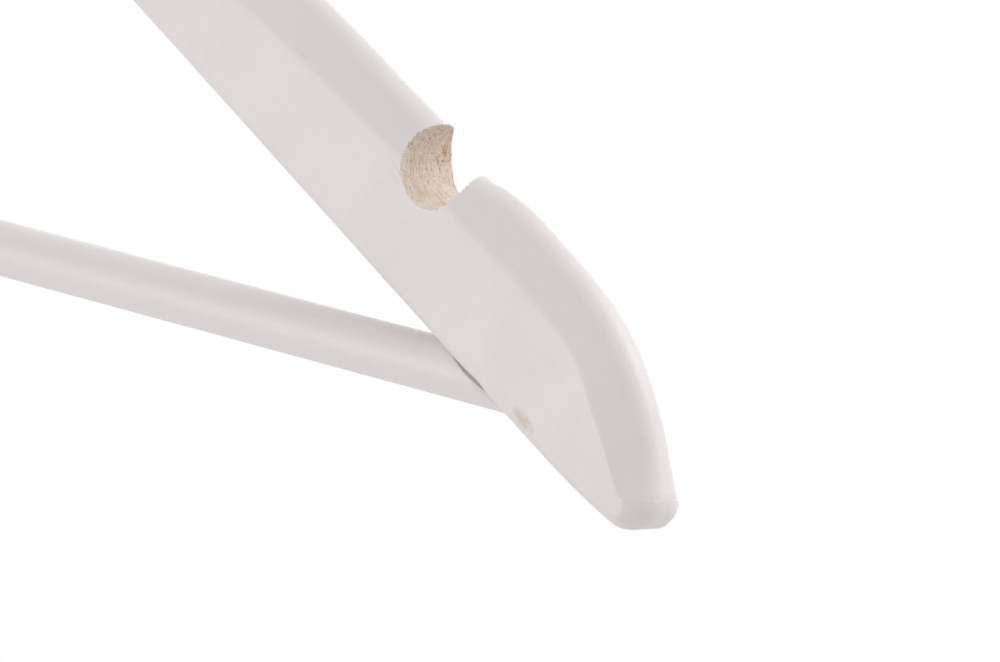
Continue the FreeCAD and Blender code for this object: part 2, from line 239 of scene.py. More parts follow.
def patchy(rng, rows, columns, cells_down, cells_across):
    """Random values on a coarse lattice, smoothly spread over a grid. The columns close on themselves."""
    lattice = rng.uniform(-1, 1, (cells_down + 1, cells_across))
    down = np.linspace(0, cells_down, rows, endpoint=False)
    over = np.linspace(0, cells_across, columns, endpoint=False)
    i, j = down.astype(int), over.astype(int)
    fi, fj = down - i, over - j
    fi = (fi * fi * (3 - 2 * fi))[:, None]
    fj = (fj * fj * (3 - 2 * fj))[None, :]
    j2 = (j + 1) % cells_across
    near = lattice[i][:, j] * (1 - fj) + lattice[i][:, j2] * fj
    far = lattice[i + 1][:, j] * (1 - fj) + lattice[i + 1][:, j2] * fj
    return near * (1 - fi) + far * fi


# ---------------------------------------------------------------- the arms' blank

CROWN_RAD = 40.0
OUTER_SLOPE = 26.6
SHOULDER = (                     # radius, turn, station spacing; turns to the right are negative
    (10.0, -22.8, 0.40),
    (10.0, 41.35, 0.40),
    (40.0, -18.95, 0.50),
    (170.0, -7.1, 0.60),
    (46.0, -18.95, 0.50),
    (65.0, -19.3, 0.50),
    (5.6, -17.65, 0.30))
TIP_UNDER = ((5.6, -111.0, 0.25), (184.0, -6.45, 0.6))
INNER_CENTRE = (90.0, GRAIN_SLOPE, 1.2)
LINE_SPACING = 1.5

# Along the outline from the lip beyond the notch, in mm: how far in the crease lies, how steeply the
# facet between nose and crease falls away, and how softly the crease is rounded over.
CREASE_AT = (-400, -158, -132, -64, -28, -13, 0, 6, 12, 24, 31, 39, 45, 49, 55, 61,
             65.4, 69.4, 71.6, 73.1, 78.2, 79.2, 80.4, 82.0, 84.5, 88.0, 600)
CREASE_IN = (5.6, 5.6, 9.6, 9.6, 7.7, 7.6, 6.3, 7.7, 8.2, 8.2, 8.1, 7.7, 7.6, 7.8, 8.1, 7.4,
             6.95, 6.1, 5.35, 4.95, 4.90, 4.5, 3.8, 3.0, 2.4, 2.2, 2.1)
FALL_AT = (-400, -158, -132, -64, -28, 50, 61, 66, 70, 73.1, 74.7, 76.2, 77.2, 78.0, 78.7, 600)
FALL = (0.0, 0.0, 19.5, 19.5, 22.5, 22.5, 25.0, 28.0, 27.0, 22.4, 17.2, 10.9, 6.0, 1.9, 0.0, 0.0)
NOSE_AT = (-400, 70, 73.1, 78.0, 79.2, 80.4, 82.0, 84.5, 600)
NOSE_MOST = (12.0, 12.0, 5.4, 4.9, 4.4, 3.7, 2.8, 2.2, 2.0)   # the nose tightens under the tip
SOFT_AT = (-400, 0, 12, 30, 40, 50, 60, 66, 600)
SOFT = (0.60, 0.80, 0.95, 0.95, 0.70, 0.45, 0.25, 0.14, 0.12)
WORN_AT = (-4, 0, 3, 8, 14, 24, 34, 42, 58, 66, 71, 74, 77, 80)
WORN_IN = (0, 0.60, 0.85, 0.78, 0.55, 0.35, 0.12, 0, 0, 0.15, 0.25, 0.25, 0.10, 0)   # sanded-back lip and tip
HALF_RING = 20
TURN_WEIGHT = 9.0                # degrees of turning that get as many rows as one millimetre


def walk_outline(upper, lower):
    """Stations of the right half, from the crown out round the tip and back inside, in mm."""
    spots, headings, lengths = [], [], []
    x, z, heading, gone = 0.0, 0.0, 0.0, 0.0
    marks = {}

    def arc(radius, turn, spacing):
        nonlocal x, z, heading, gone
        side = math.copysign(1.0, turn)
        steps = max(2, round(radius * math.radians(abs(turn)) / spacing))
        cx, cz = x - side * radius * math.sin(heading), z + side * radius * math.cos(heading)
        for step in range(steps):
            h = heading + math.radians(turn) * step / steps
            spots.append((cx + side * radius * math.sin(h), cz - side * radius * math.cos(h)))
            headings.append(h)
            lengths.append(gone + radius * math.radians(abs(turn)) * step / steps)
        heading += math.radians(turn)
        gone += radius * math.radians(abs(turn))
        x, z = cx + side * radius * math.sin(heading), cz - side * radius * math.cos(heading)

    def line(length):
        nonlocal x, z, gone
        steps = max(1, round(length / LINE_SPACING))
        for step in range(steps):
            run = length * step / steps
            spots.append((x + run * math.cos(heading), z + run * math.sin(heading)))
            headings.append(heading)
            lengths.append(gone + run)
        x, z, gone = x + length * math.cos(heading), z + length * math.sin(heading), gone + length

    arc(CROWN_RAD, -OUTER_SLOPE, 0.9)
    line(upper)
    for number, bend in enumerate(SHOULDER):
        if number == 2:
            marks["lip"] = gone
        arc(*bend)
    marks["tip_x"] = x
    for bend in TIP_UNDER:
        arc(*bend)
    line(lower)
    arc(*INNER_CENTRE)
    spots.append((x, z))
    headings.append(heading)
    lengths.append(gone)
    marks["end_x"] = x
    return np.array(spots), np.array(headings), np.array(lengths), marks


def edge_section(inset, fall, soft, nose_most):
    """Rows of (inset, height) of half an edge: nose, facet, softened crease and a little of the face."""
    half = HALF_THICK / MM
    fall = math.radians(fall)
    nose = (half - inset * math.tan(fall)) / (math.cos(fall) - (1 - math.sin(fall)) * math.tan(fall))
    nose = max(1.9, min(nose, nose_most, inset / (1 - math.sin(fall))))
    facet = max(0.0, (inset - nose * (1 - math.sin(fall))) / math.cos(fall))
    upright = max(0.0, half - facet * math.sin(fall) - nose * math.cos(fall))
    soft = min(soft, 0.9 * facet) if facet > 0 else 0.0
    margin = 0.5 if inset > 5.6 else 0.12
    pieces = [
        (upright, 0.0),
        (nose * (math.pi / 2 - fall), math.pi / 2 - fall),
        (max(0.0, facet - soft), 0.0),
        (2 * soft, fall),
        (margin, 0.0)]
    weights = [length + math.degrees(turn) / TURN_WEIGHT for length, turn in pieces]
    total = sum(weights)
    rows = []
    for row in range(HALF_RING + 1):
        left = total * row / HALF_RING
        u, v, heading = 0.0, 0.0, math.pi / 2
        for (length, turn), weight in zip(pieces, weights):
            if weight <= 1e-9:
                continue
            part = min(1.0, left / weight)
            if turn < 1e-6:
                u += part * length * math.cos(heading)
                v += part * length * math.sin(heading)
            else:
                radius = length / turn
                after = heading - turn * part
                u += radius * (math.sin(heading) - math.sin(after))
                v += radius * (math.cos(after) - math.cos(heading))
                heading = after
            left -= weight * part
            if left <= 1e-9:
                break
        rows.append((u, min(v, half)))
    scale = half / rows[-1][1]
    return [(u, v * scale) for u, v in rows]


def make_blank(name):
    """Both arms in one: the edge section carried round the whole outline, with two flat faces."""
    rng = np.random.default_rng(41)
    _, _, _, marks = walk_outline(0.0, 0.0)
    upper = (HALF_SPAN / MM - marks["tip_x"]) / math.cos(math.radians(OUTER_SLOPE))
    out = marks["end_x"] + upper * math.cos(math.radians(OUTER_SLOPE))
    lower = out / math.cos(math.radians(GRAIN_SLOPE))
    spots, headings, lengths, marks = walk_outline(upper, lower)
    spots[:, 1] += ARM_LOW.z / MM - spots[:, 1].min()
    inward = np.stack([np.sin(headings), -np.cos(headings)], axis=1)

    mirror = slice(len(spots) - 2, 0, -1)
    spots = np.concatenate([spots, spots[mirror] * (-1, 1)])
    inward = np.concatenate([inward, inward[mirror] * (-1, 1)])
    from_lip = np.concatenate([lengths - marks["lip"], lengths[mirror] - marks["lip"]])
    perimeter = 2 * lengths[-1]
    around = np.concatenate([lengths, perimeter - lengths[mirror]])
    sanded = np.interp(from_lip, WORN_AT, WORN_IN)
    spots = spots + inward * (sanded + 0.045 * (1 + slow_waves(rng, around, perimeter, 18.0, 14)))[:, None]
    wander = 0.14 * slow_waves(rng, around, perimeter, 12.0, 16)

    points = []
    for spot, normal, along, stray in zip(spots, inward, from_lip, wander):
        inset = float(np.interp(along, CREASE_AT, CREASE_IN))
        inset += stray * min(1.0, (inset - 2.0) / 4.0)
        fall = float(np.interp(along, FALL_AT, FALL))
        soft = float(np.interp(along, SOFT_AT, SOFT))
        rows = edge_section(inset, fall, soft, float(np.interp(along, NOSE_AT, NOSE_MOST)))
        for u, v in reversed(rows):
            points.append((spot[0] + normal[0] * u, -v, spot[1] + normal[1] * u))
        for u, v in rows[1:]:
            points.append((spot[0] + normal[0] * u, v, spot[1] + normal[1] * u))
    ring = 2 * HALF_RING + 1
    count = len(spots)
    faces = band_faces(count, ring, row_wraps=True)
    faces.append(tuple(i * ring for i in range(count)))
    faces.append(tuple(i * ring + ring - 1 for i in range(count)))
    points = np.array(points) * MM
    return mesh_from(name, points, faces)


# ---------------------------------------------------------------- cutters for the wood

FINGER_HALF = 9.0
FINGER_LAYERS = 5
JOINT_GAP = 0.02
PAST_FACE = 1.0                            # how far the cutter stands past the arm's faces, in mm
FAR_SIDE = 300.0
PAST_ENDS = 20 * MM


def finger_cutter(keep_right):
    """Everything on the other side of the stepped finger joint."""
    sign = 1.0 if keep_right else -1.0
    layer = 2 * HALF_THICK / MM / FINGER_LAYERS
    edge = []
    for number in range(FINGER_LAYERS):
        reach = -FINGER_HALF if number % 2 == 0 else FINGER_HALF
        x = reach + sign * JOINT_GAP / 2
        own_finger = (number % 2 == 0) == keep_right       # it gives way at its sides too
        give = JOINT_GAP / 2 if own_finger else -JOINT_GAP / 2
        base = -HALF_THICK / MM + number * layer
        low = base + (give if number > 0 else -PAST_FACE)
        high = base + layer - (give if number < FINGER_LAYERS - 1 else -PAST_FACE)
        edge += [(x, low), (x, high)]
    far = -sign * FAR_SIDE
    rim = [(far, edge[0][1])] + edge + [(far, edge[-1][1])]
    levels = (ARM_LOW.z - PAST_ENDS, NECK_Z + PAST_ENDS)
    points = [(x * MM, y * MM, level) for level in levels for x, y in rim]
    count = len(rim)
    faces = [tuple(range(count)), tuple(range(count, 2 * count))]
    faces += [(i, (i + 1) % count, count + (i + 1) % count, count + i) for i in range(count)]
    return place_object("finger_cutter", mesh_from("finger_cutter", points, faces))


def neck_cutter():
    """The sleeve's socket and the flat seat above it."""
    socket = 4.42 * MM
    deep = SLEEVE_LOW.z - 3.2 * MM
    seat = 17 * MM
    profile = [(socket, deep), (socket, NECK_Z), (seat, NECK_Z), (seat, NECK_Z + 0.01)]
    return place_object("neck_cutter", solid_turning("neck_cutter", profile, 96))


HOLE_EASE = 0.03 * MM
BREAK_MIDDLE = 175.0                       # where the hole's mouth is broken out, in degrees round the bar
BREAK_REACH = 50.0
BREAK_DEEP = 0.60 * MM


def bar_cutter(sign):
    """The bar's blind hole, broken out a little at the front, where the paint has cracked open."""
    around = 160
    ring = []
    for step in range(around):
        turn = math.tau * step / around
        off = abs((math.degrees(turn) - BREAK_MIDDLE + 180) % 360 - 180)
        bite = BREAK_DEEP * math.cos(math.radians(90 * off / BREAK_REACH)) ** 2 if off < BREAK_REACH else 0.0
        radius = BAR_RAD + HOLE_EASE + bite
        ring.append((radius * math.cos(turn), BAR_Z + radius * math.sin(turn)))
    ends = (sign * 100 * MM, sign * (BAR_HIGH.x + 0.3 * MM))
    points = [(x, y, z) for x in ends for y, z in ring]
    return place_object("bar_cutter", mesh_from("bar_cutter", points, tube_faces(2, around)))


def brad_cutter(sign):
    """The putty pocket in the front face and the narrow hole behind it."""
    pocket, hole = PUTTY_RAD + 0.003 * MM, 0.82 * MM
    floor_y, end_y = PUTTY_HIGH.y + 0.003 * MM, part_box("right_bar_pin")[1].y + 0.03 * MM
    profile = [(pocket, -HALF_THICK - MM), (pocket, floor_y), (hole, floor_y), (hole, end_y)]
    centre = (sign * PUTTY_X, 0.0, PUTTY_Z)
    return place_object("brad_cutter", solid_turning("brad_cutter", profile, 48, "Y", centre))


NOTCH_OPEN = 90.0 - GRAIN_SLOPE            # the side of the notch that is open, in degrees round it
FIBRES = 330                               # tries; those that don't start on the wood are left out
CRUMBS = 150                               # tries too
FIBRE_PAST_FACE = 0.08 * MM


def ragged(values):
    """Turns soft lumps into sharp-bottomed valleys, from -1 on the crests to 1 in the valleys."""
    return 1.0 - 2.0 * np.minimum(1.0, np.abs(values) * 1.8)


def notch_cutter(sign, seed):
    """The strap notch's round cutter. Its wall is torn and crumbly, more so where it meets end grain."""
    rng = np.random.default_rng(seed)
    across, around = 170, 520
    y = np.linspace(-HALF_THICK - 0.8 * MM, HALF_THICK + 0.8 * MM, across)
    turn = np.linspace(0, math.tau, around, endpoint=False)
    fibres = ragged(patchy(rng, across, around, 30, 34))
    strands = ragged(patchy(rng, across, around, 66, 52))
    crumbs = patchy(rng, across, around, 58, 150)
    grit = patchy(rng, across, around, 120, 380)
    broad = patchy(rng, across, around, 5, 14)
    pits = np.clip(patchy(rng, across, around, 34, 110) - 0.58, 0, 1) / 0.42
    end_grain = np.abs(np.cos(turn - math.radians(180 - GRAIN_SLOPE)))[None, :] ** 1.5
    torn = 0.35 + 0.65 * end_grain
    depth = torn * (0.075 * fibres + 0.050 * strands + 0.060 * crumbs + 0.26 * pits)
    depth = depth + 0.030 * grit + 0.10 * broad
    radius = NOTCH_RAD + depth * MM
    x = sign * (NOTCH_X + radius * np.cos(turn)[None, :])
    z = NOTCH_Z + radius * np.sin(turn)[None, :]
    points = np.stack([x, np.broadcast_to(y[:, None], x.shape), z], axis=2).reshape(-1, 3)
    return place_object("notch_cutter", mesh_from("notch_cutter", points, tube_faces(across, around)))


def add_splinters(arm, sign, seed):
    """Torn fibres standing off the notch's wall, and crumbs of lacquer along its upper rim."""
    rng = np.random.default_rng(seed)
    form = bmesh.new()
    form.from_mesh(arm.data)
    wood = BVHTree.FromBMesh(form)

    def rooted(spots, root_near, rest_near):
        """True where the fibre starts on the wood and stays close to it."""
        near = [wood.find_nearest(Vector((sign * spot.x, spot.y, spot.z)))[3] for spot in spots]
        return near[0] < root_near and max(near) < rest_near

    def strand(spots, thick, index):
        rings = []
        for number, (spot, side, over) in enumerate(spots):
            wide = thick * (1.0 - 0.8 * number / (len(spots) - 1)) * MM
            ring = []
            for corner in range(4):
                turn = math.tau * corner / 4 + 0.4
                point = spot + side * (wide * math.cos(turn)) + over * (wide * 0.6 * math.sin(turn))
                ring.append(form.verts.new((sign * point.x, point.y, point.z)))
            rings.append(ring)
        walls = [rings[0][::-1], rings[-1]]
        for low, high in zip(rings, rings[1:]):
            walls += [(low[i], low[(i + 1) % 4], high[(i + 1) % 4], high[i]) for i in range(4)]
        for wall in walls:
            form.faces.new(wall if sign > 0 else wall[::-1]).material_index = index

    for number in range(FIBRES):
        angle = math.radians(NOTCH_OPEN + 58 + 244 * rng.random() ** 1.25)
        at_rim = number % 3 == 0
        y = rng.uniform(-5.7, 5.7) if not at_rim else rng.choice([-1.0, 1.0]) * rng.uniform(5.2, 5.95)
        if number % 3 == 1 and y < 0:
            y = rng.uniform(3.6, 5.9)
        length = rng.uniform(0.35, 1.5)
        lift = rng.uniform(0.03, 0.34)
        way = rng.choice([-1.0, 1.0])
        lean = rng.uniform(-0.5, 0.5) + (0.5 if y > 4.5 else 0.0)
        spots = []
        for step in range(4):
            part = step / 3
            here = angle + way * length * part / (NOTCH_RAD / MM)
            off = NOTCH_RAD + (0.10 - lift * part ** 1.6) * MM
            spot = Vector((NOTCH_X + off * math.cos(here), (y + lean * length * part) * MM,
                           NOTCH_Z + off * math.sin(here)))
            furthest = HALF_THICK + FIBRE_PAST_FACE
            spot.y = max(-furthest, min(furthest, spot.y))
            spots.append((spot, Vector((0, 1, 0)), Vector((math.cos(here), 0, math.sin(here)))))
        thick = rng.uniform(0.035, 0.085)
        if rooted([spot for spot, _, _ in spots], 0.25 * MM, 0.50 * MM):
            strand(spots, thick, 1)

    for _ in range(CRUMBS):
        angle = math.radians(NOTCH_OPEN + 50 + 34 * rng.random() ** 1.4)
        y = rng.uniform(-3.4, 4.6)
        off = NOTCH_RAD + rng.uniform(-0.12, 0.16) * MM
        spot = Vector((NOTCH_X + off * math.cos(angle), y * MM, NOTCH_Z + off * math.sin(angle)))
        side = Vector(rng.normal(size=3)).normalized()
        over = side.orthogonal().normalized()
        reach = side.cross(over) * rng.uniform(0.06, 0.20) * MM
        thick = rng.uniform(0.07, 0.19)
        if rooted([spot], 0.20 * MM, 0.20 * MM):
            strand([(spot - reach, side, over), (spot, side, over), (spot + reach, side, over)], thick, 0)
    form.to_mesh(arm.data)
    form.free()


def finish_piece(piece, body, node, sharp_over=38):
    """Smooth shading, the body that the piece belongs to, and its CAD node hidden."""
    soften(piece.data, sharp_over)
    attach(piece, body)
    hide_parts(node)


def give_materials(obj, materials, index=0):
    obj.data.materials.clear()
    for material in materials:
        obj.data.materials.append(material)
    obj.data.polygons.foreach_set("material_index", [index] * len(obj.data.polygons))


def make_arm(side, sign, blank, lacquer, bare):
    arm = place_object(side + "_arm_wood", blank.copy())
    give_materials(arm, (lacquer, bare))
    seed = 17 if sign > 0 else 18
    cutters = [
        finger_cutter(sign > 0), notch_cutter(sign, seed), bar_cutter(sign),
        brad_cutter(sign), neck_cutter()]
    for cutter in cutters:
        give_materials(cutter, (lacquer, bare), 1)
        cut_away(arm, cutter)
    add_splinters(arm, sign, 71 if sign > 0 else 72)
    finish_piece(arm, "wood_frame", side + "_arm")


# ---------------------------------------------------------------- bar, putty and ironwork

def make_bar(lacquer):
    """The dowel: nearly round, with its end edges taken off."""
    rng = np.random.default_rng(23)
    length = BAR_HIGH.x - BAR_LOW.x
    chamfer = 0.6 * MM
    inner = np.linspace(BAR_LOW.x + chamfer, BAR_HIGH.x - chamfer, 380)
    left_end = [BAR_LOW.x, BAR_LOW.x + chamfer * 0.5]
    right_end = [BAR_HIGH.x - chamfer * 0.5, BAR_HIGH.x]
    xs = np.concatenate([left_end, inner, right_end])
    base = np.full(len(xs), BAR_RAD)
    base[[0, -1]] -= chamfer
    base[[1, -2]] -= chamfer * 0.5
    around = 80
    turn = np.linspace(0, math.tau, around, endpoint=False)
    lumps = 0.030 * MM * (patchy(rng, len(xs), around, 26, 5) - 1)
    lumps += 0.010 * MM * (patchy(rng, len(xs), around, 40, 22) - 1)
    sway = 0.05 * MM * np.sin(math.tau * xs / length)
    radius = base[:, None] + lumps
    x = np.broadcast_to(xs[:, None], radius.shape)
    y = radius * np.cos(turn)[None, :]
    z = BAR_Z + radius * np.sin(turn)[None, :] + sway[:, None] * 0.5
    points = np.stack([x, y, z], axis=2).reshape(-1, 3)
    bar = place_object("dowel_bar", mesh_from("dowel_bar", points, tube_faces(len(xs), around)))
    give_materials(bar, (lacquer,))
    finish_piece(bar, "wood_frame", "trouser_bar")


def make_putty(side, sign, putty):
    """A flush putty plug with a slightly broken edge."""
    top = -HALF_THICK + 0.004 * MM
    low = PUTTY_HIGH.y
    rim = PUTTY_RAD
    profile = [
        (0.25 * rim, top), (0.6 * rim, top), (0.9 * rim, top), (rim - 0.01 * MM, top),
        (rim, top + 0.01 * MM), (rim, low)]
    mesh = solid_turning(side + "_putty_plug", profile, 64, "Y", (sign * PUTTY_X, 0.0, PUTTY_Z))
    plug = place_object(side + "_putty_plug", mesh)
    give_materials(plug, (putty,))
    finish_piece(plug, "wood_frame", side + "_pin_filler")


WIRE_RAD = HOOK_HIGH.z / 2                 # the seat is at zero, so the wire's top is one wire thick above
BEND_RAD = 22.9 * MM
SWAN_RAD = 14.0 * MM
LEAD_RAD = 11.0 * MM
SWAN_TURN = 50
BEND_TURN = 240
LEAD_TURN = 40
BEAD_RAD = 3.4 * MM
BEAD_HIGH = 2.6 * MM
PEEN_RAD = 3.0 * MM
PEEN_HIGH = 1.6 * MM
WIRE_END_ROUND = 1.5 * MM


def shank_profile(swan_start):
    """(height, radius) up the straight shank: peened end, journal, bead and plain wire."""
    rows = []
    foot = HOOK_LOW.z
    for step in range(9):
        part = step / 8
        rows.append((foot + PEEN_HIGH * 0.55 * (1 - math.cos(part * math.pi / 2)),
                     PEEN_RAD * (0.30 + 0.70 * math.sin(part * math.pi / 2))))
    rows.append((foot + PEEN_HIGH * 0.86, PEEN_RAD))
    rows.append((foot + PEEN_HIGH * 0.97, PEEN_RAD - 0.12 * MM))
    rows.append((foot + PEEN_HIGH, WIRE_RAD + 0.12 * MM))
    rows.append((foot + PEEN_HIGH + 0.08 * MM, WIRE_RAD))
    bead_foot = WASHER_HIGH.z + 0.05 * MM
    rows += [(z, WIRE_RAD) for z in np.linspace(foot + PEEN_HIGH + 1.0 * MM, bead_foot - 0.1 * MM, 12)]
    for step in range(17):
        part = -1 + 2 * step / 16
        swell = (1 - abs(part) ** 2.6) ** 0.5
        rows.append((bead_foot + BEAD_HIGH * (part + 1) / 2, WIRE_RAD + (BEAD_RAD - WIRE_RAD) * swell))
    top = bead_foot + BEAD_HIGH
    rows += [(z, WIRE_RAD) for z in np.linspace(top + 0.25 * MM, swan_start - 0.3 * MM, 26)]
    return rows


def make_hook(plating):
    """One bent wire: shank, swan neck, round bend and turned-out lead, with its end rounded off."""
    centre_z = HOOK_HIGH.z - WIRE_RAD - BEND_RAD
    swan_out = SWAN_RAD * (1 - math.cos(math.radians(SWAN_TURN)))
    start_x = BEND_RAD * math.cos(math.radians(-SWAN_TURN))
    start_z = centre_z + BEND_RAD * math.sin(math.radians(-SWAN_TURN))
    rise = math.radians(90 - SWAN_TURN)
    run = (start_x - swan_out) / math.cos(rise)
    swan_start = start_z - run * math.sin(rise) - SWAN_RAD * math.sin(math.radians(SWAN_TURN))

    stations = [(0.0, z, math.pi / 2, radius) for z, radius in shank_profile(swan_start)]
    x, z, heading = 0.0, swan_start, math.pi / 2

    def bend(radius, turn, steps):
        nonlocal x, z, heading
        side = math.copysign(1.0, turn)
        cx, cz = x - side * radius * math.sin(heading), z + side * radius * math.cos(heading)
        for step in range(steps):
            h = heading + math.radians(turn) * step / steps
            stations.append((cx + side * radius * math.sin(h), cz - side * radius * math.cos(h), h, WIRE_RAD))
        heading += math.radians(turn)
        x, z = cx + side * radius * math.sin(heading), cz - side * radius * math.cos(heading)

    bend(SWAN_RAD, -SWAN_TURN, 24)
    for step in range(10):
        stations.append((x + run * step / 10 * math.cos(heading), z + run * step / 10 * math.sin(heading),
                         heading, WIRE_RAD))
    x, z = x + run * math.cos(heading), z + run * math.sin(heading)
    bend(BEND_RAD, BEND_TURN, 130)
    bend(LEAD_RAD, -LEAD_TURN, 20)
    for step in range(9):
        part = step / 8 * math.pi / 2
        back = WIRE_END_ROUND * (1 - math.sin(part))
        radius = WIRE_RAD - WIRE_END_ROUND * (1 - math.cos(part))
        stations.append((x - back * math.cos(heading), z - back * math.sin(heading), heading, radius))

    around = 48
    points = []
    for sx, sz, h, radius in stations:
        for step in range(around):
            turn = math.tau * step / around
            side = radius * math.cos(turn)
            points.append((sx - side * math.sin(h), radius * math.sin(turn), sz + side * math.cos(h)))
    hook = place_object("wire_hook", mesh_from("wire_hook", points, tube_faces(len(stations), around)))
    give_materials(hook, (plating,))
    finish_piece(hook, "hook", "hook", 50)


def rounded_corner(radius_at, height_at, ease, first, steps=5):
    """Points of a quarter-round corner that starts at the angle first, in degrees, and turns right."""
    corner = []
    for step in range(steps + 1):
        angle = math.radians(first - 90 * step / steps)
        corner.append((radius_at + ease * math.cos(angle), height_at + ease * math.sin(angle)))
    return corner


def make_washer(plating):
    low, high = WASHER_LOW.z, WASHER_HIGH.z
    bore, rim = 2.2 * MM, WASHER_HIGH.x
    ease = 0.15 * MM
    profile = rounded_corner(bore + ease, high - ease, ease, 180)
    profile += rounded_corner(rim - ease, high - ease, ease, 90)
    profile += rounded_corner(rim - ease, low + ease, ease, 0)
    profile += rounded_corner(bore + ease, low + ease, ease, -90)
    washer = place_object("thin_washer", turned_mesh("thin_washer", profile, 96))
    give_materials(washer, (plating,))
    finish_piece(washer, "hook", "hook_washer", 50)


def make_sleeve(plating):
    bore, rim, barrel, rib = 1.98 * MM, SLEEVE_HIGH.x, 4.0 * MM, 4.4 * MM
    top, bottom = SLEEVE_HIGH.z, SLEEVE_LOW.z
    rib_high, pitch, ribs = 1.2 * MM, 3.4 * MM, 5
    ease = 0.30 * MM
    profile = rounded_corner(bore + ease, top - ease, ease, 180)
    profile += rounded_corner(rim - ease, top - ease, ease, 90)
    profile += [(rim, NECK_Z), (barrel, NECK_Z)]
    for number in range(1, ribs + 1):
        level = NECK_Z - number * pitch
        profile += [(barrel, level + rib_high), (rib, level + rib_high), (barrel, level)]
    profile += [(barrel, bottom + 0.2 * MM), (barrel - 0.2 * MM, bottom), (bore, bottom)]
    sleeve = place_object("ribbed_sleeve", turned_mesh("ribbed_sleeve", profile, 96))
    give_materials(sleeve, (plating,))
    finish_piece(sleeve, "wood_frame", "hook_sleeve", 40)


# ---------------------------------------------------------------- finishes

def add(tree, kind, inputs=None, **settings):
    """A node with its settings and inputs; an input is a number, a colour or another node's output."""
    node = tree.nodes.new("ShaderNode" + kind)
    for name, value in settings.items():
        setattr(node, name, value)
    for name, value in (inputs or {}).items():
        if isinstance(value, bpy.types.NodeSocket):
            tree.links.new(value, node.inputs[name])
        else:
            node.inputs[name].default_value = value
    return node


def math_of(tree, operation, first, second=None, clamp=False):
    values = [value for value in (first, second) if value is not None]
    return add(tree, "Math", dict(enumerate(values)), operation=operation, use_clamp=clamp).outputs[0]


def times(tree, first, second):
    return math_of(tree, "MULTIPLY", first, second)


def plus(tree, first, second, clamp=False):
    return math_of(tree, "ADD", first, second, clamp)


def minus(tree, first, second, clamp=False):
    return math_of(tree, "SUBTRACT", first, second, clamp)


def divided(tree, first, second, clamp=False):
    return math_of(tree, "DIVIDE", first, second, clamp)


def between(tree, value, low, high, out_low=0.0, out_high=1.0):
    """Carries value from low..high over to out_low..out_high with soft ends."""
    inputs = {"Value": value, "From Min": low, "From Max": high, "To Min": out_low, "To Max": out_high}
    return add(tree, "MapRange", inputs, interpolation_type="SMOOTHSTEP").outputs["Result"]


def blend_colours(tree, mask, first, second, way="MIX"):
    node = add(tree, "Mix", data_type="RGBA", blend_type=way)
    for socket, value in ((node.inputs[0], mask), (node.inputs[6], first), (node.inputs[7], second)):
        if isinstance(value, bpy.types.NodeSocket):
            tree.links.new(value, socket)
        else:
            socket.default_value = value
    return node.outputs[2]


def clouds(tree, vector, scale, detail=3.0, rough=0.5, warp=0.0):
    inputs = {"Vector": vector, "Scale": scale, "Detail": detail, "Roughness": rough, "Distortion": warp}
    return add(tree, "TexNoise", inputs).outputs["Fac"]


def new_effect(name, takes, gives):
    """An empty shader group with named inputs and outputs."""
    tree = bpy.data.node_groups.new(name, "ShaderNodeTree")
    for label, kind, default in takes:
        socket = tree.interface.new_socket(label, in_out="INPUT", socket_type="NodeSocket" + kind)
        socket.default_value = default
    for label, kind in gives:
        tree.interface.new_socket(label, in_out="OUTPUT", socket_type="NodeSocket" + kind)
    return tree, tree.nodes.new("NodeGroupInput").outputs, tree.nodes.new("NodeGroupOutput").inputs


def use_effect(tree, effect, inputs=None):
    node = tree.nodes.new("ShaderNodeGroup")
    node.node_tree = effect
    for name, value in (inputs or {}).items():
        if isinstance(value, bpy.types.NodeSocket):
            tree.links.new(value, node.inputs[name])
        else:
            node.inputs[name].default_value = value
    return node.outputs


def folded_place(tree):
    """Object coordinates in millimetres, then the same with the left half folded over onto the right."""
    place = add(tree, "TexCoord").outputs["Object"]
    scaled = add(tree, "VectorMath", {0: place, "Scale": 1000.0}, operation="SCALE").outputs[0]
    parts = add(tree, "SeparateXYZ", {0: scaled}).outputs
    return scaled, math_of(tree, "ABSOLUTE", parts[0]), parts[1], parts[2]


def effect_sprayed_skin():
    """The faint ripple and slow tone drift of sprayed lacquer."""
    takes = [("Ripple Size", "Float", 1.0), ("Ripple", "Float", 0.01), ("Drift Size", "Float", 25.0)]
    gives = [("Height", "Float"), ("Drift", "Float"), ("Peel", "Float")]
    tree, takes, gives = new_effect("sprayed_skin", takes, gives)
    place = folded_place(tree)[0]
    ripple = clouds(tree, place, divided(tree, 1.0, takes["Ripple Size"]), 2.0, 0.45)
    fine = clouds(tree, place, divided(tree, 3.6, takes["Ripple Size"]), 1.0, 0.5)
    both = plus(tree, times(tree, ripple, 0.75), times(tree, fine, 0.25))
    tree.links.new(times(tree, both, takes["Ripple"]), gives["Height"])
    drift = clouds(tree, place, divided(tree, 1.0, takes["Drift Size"]), 3.0, 0.55)
    tree.links.new(between(tree, drift, 0.3, 0.7), gives["Drift"])
    peel = times(tree, between(tree, ripple, 0.38, 0.72), 0.075)
    dull = clouds(tree, place, 0.30, 3.0, 0.6)
    broad = times(tree, between(tree, dull, 0.45, 0.72), 0.05)
    tree.links.new(plus(tree, peel, broad), gives["Peel"])
    return tree


